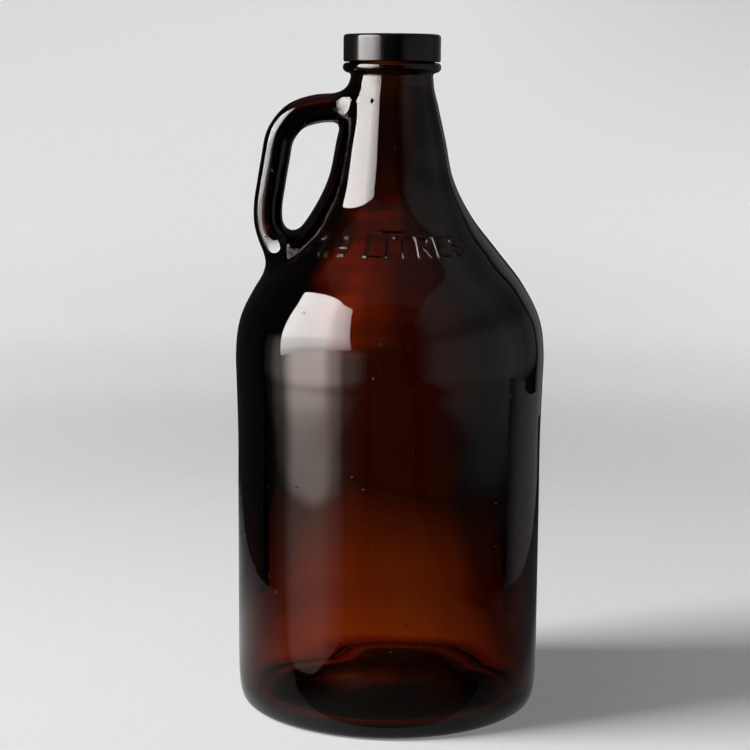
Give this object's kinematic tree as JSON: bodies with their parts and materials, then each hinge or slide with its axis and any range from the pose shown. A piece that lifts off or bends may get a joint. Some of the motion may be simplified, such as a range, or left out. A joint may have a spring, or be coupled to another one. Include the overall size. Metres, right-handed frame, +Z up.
{
  "type": "growler",
  "caption": "Half-gallon amber glass jug with a round body, cone neck, moulded finger-loop handle and a black screw cap with a loose sealing liner.",
  "frame": {"origin": "on the bottle's axis, in the plane of the ring that it stands on", "axes": "+Z up along the bottle's axis; the finger-loop handle is on the -X side, and the raised capacity mark faces -Y"},
  "size_m": [0.1288, 0.1288, 0.2793],
  "materials": {
    "amber_glass": "fire-polished, glossy, seen through to a dark red-brown",
    "cap_plastic": "moulded gloss with a soft sheen",
    "liner_foam": "matt foam board with a smooth film face"
  },
  "bodies": {
    "bottle": {"bottle": "amber_glass"},
    "liner": {"cap_liner": "liner_foam"},
    "cap": {"cap_shell": "cap_plastic"}
  },
  "joints": [
    {"name": "cap_lift", "type": "slide", "parent": "bottle", "child": "liner", "axis": [0, 0, 1], "range_m": [0, 0.0127]},
    {"name": "cap_turn", "type": "hinge", "parent": "liner", "child": "cap", "pos_m": [0, 0, 0.2738], "axis": [0, 0, 1], "range_deg": [0, 1080]}
  ],
  "couplings": [
    {"joint": "cap_lift", "follows": "cap_turn", "m_per_rad": 0.0006737}
  ]
}
